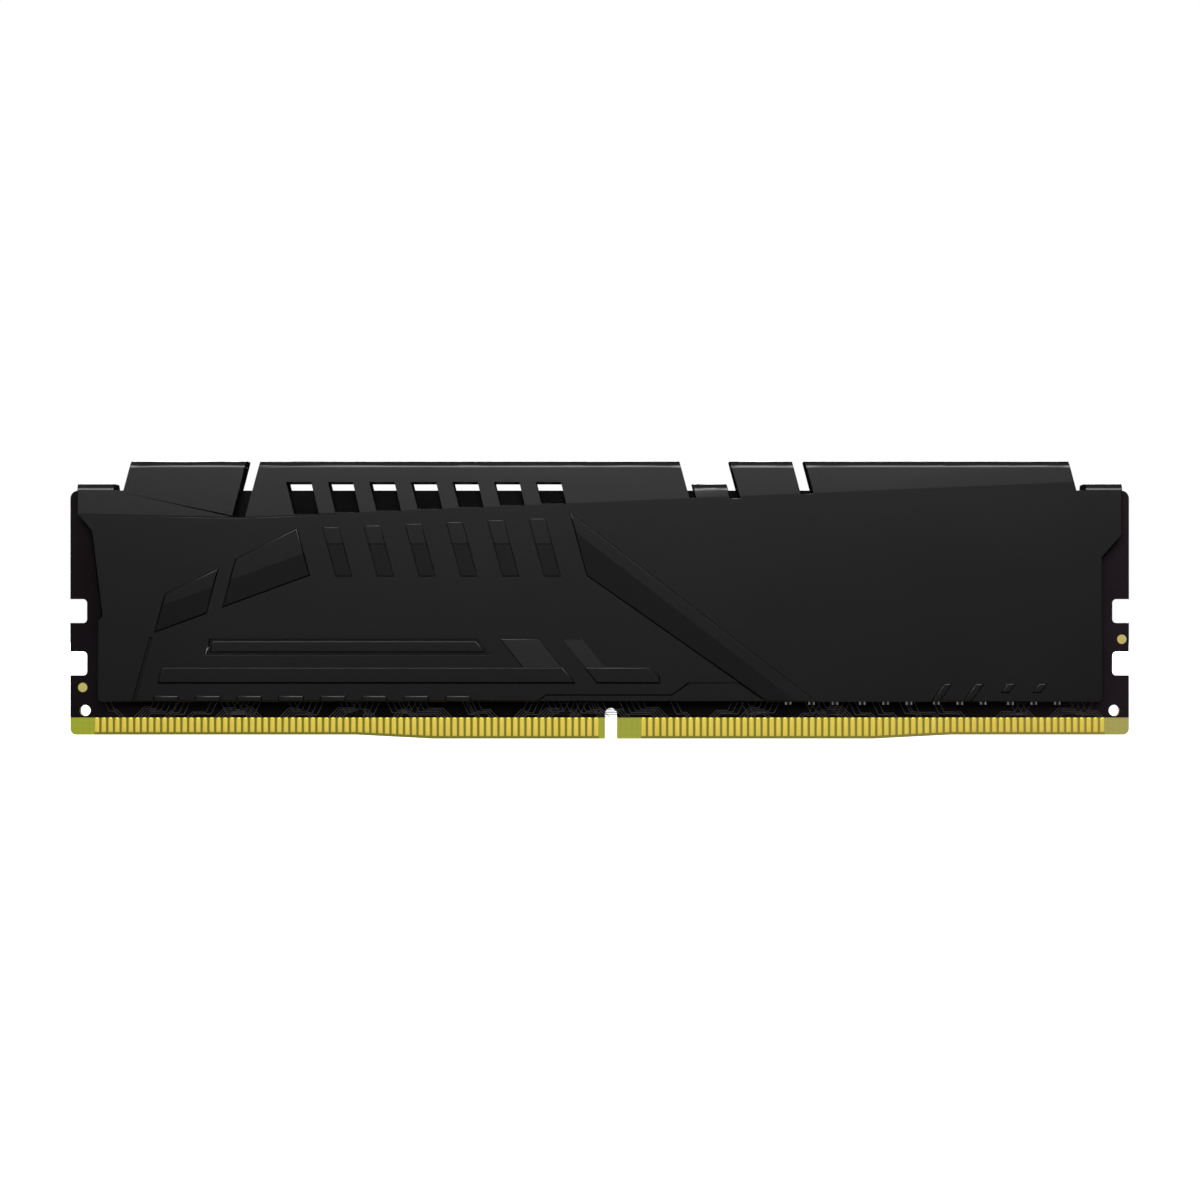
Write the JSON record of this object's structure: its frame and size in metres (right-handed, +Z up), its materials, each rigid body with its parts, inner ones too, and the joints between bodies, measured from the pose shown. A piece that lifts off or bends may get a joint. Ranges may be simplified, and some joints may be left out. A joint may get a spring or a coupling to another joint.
{
  "type": "ram module",
  "caption": "Long thin plug-in memory board with a keyed gold contact edge, latch notches and a two-piece black heat spreader with slotted, folded top.",
  "frame": {"origin": "under the middle of the board, on the lowest line of its contact edge, at mid-thickness", "axes": "+X along the length with the long bank of contacts towards -X, +Y through the thickness towards the rear, +Z up away from the socket"},
  "size_m": [0.1334, 0.0066, 0.0349],
  "materials": {
    "laminate": "bare glass-epoxy laminate, yellow green",
    "solder_mask": "black solder mask, semi-gloss",
    "contact_gold": "hard gold plate",
    "spreader_black": "black powder-fine coating on stamped aluminium",
    "thermal_pad": "grey silicone gap pad",
    "chip_resin": "moulded black epoxy",
    "inductor_core": "pressed iron powder, dark grey",
    "capacitor_ceramic": "tan ceramic",
    "resistor_ceramic": "black glazed film on ceramic",
    "solder": "tin plate"
  },
  "bodies": {
    "root": {"alignment_pads_front": "contact_gold", "alignment_pads_rear": "contact_gold", "bulk_capacitors": "capacitor_ceramic", "bulk_capacitors_ends": "solder", "capacitors_front": "capacitor_ceramic", "capacitors_front_ends": "solder", "capacitors_rear": "capacitor_ceramic", "capacitors_rear_ends": "solder", "circuit_board": "laminate", "contacts_front_left": "contact_gold", "contacts_front_right": "contact_gold", "contacts_rear_left": "contact_gold", "contacts_rear_right": "contact_gold", "damping_resistors": "resistor_ceramic", "damping_resistors_ends": "solder", "heat_spreader_front": "spreader_black", "heat_spreader_rear": "spreader_black", "identity_hub": "chip_resin", "memory_chip_front_1": "chip_resin", "memory_chip_front_2": "chip_resin", "memory_chip_front_3": "chip_resin", "memory_chip_front_4": "chip_resin", "memory_chip_front_5": "chip_resin", "memory_chip_front_6": "chip_resin", "memory_chip_front_7": "chip_resin", "memory_chip_front_8": "chip_resin", "memory_chip_rear_1": "chip_resin", "memory_chip_rear_2": "chip_resin", "memory_chip_rear_3": "chip_resin", "memory_chip_rear_4": "chip_resin", "memory_chip_rear_5": "chip_resin", "memory_chip_rear_6": "chip_resin", "memory_chip_rear_7": "chip_resin", "memory_chip_rear_8": "chip_resin", "power_inductor_1": "inductor_core", "power_inductor_2": "inductor_core", "power_inductor_3": "inductor_core", "solder_balls_front": "solder", "solder_balls_rear": "solder", "solder_mask_front": "solder_mask", "solder_mask_rear": "solder_mask", "thermal_pad_front_left": "thermal_pad", "thermal_pad_front_right": "thermal_pad", "thermal_pad_power": "thermal_pad", "thermal_pad_rear_left": "thermal_pad", "thermal_pad_rear_right": "thermal_pad", "voltage_controller": "chip_resin"}
  },
  "joints": []
}
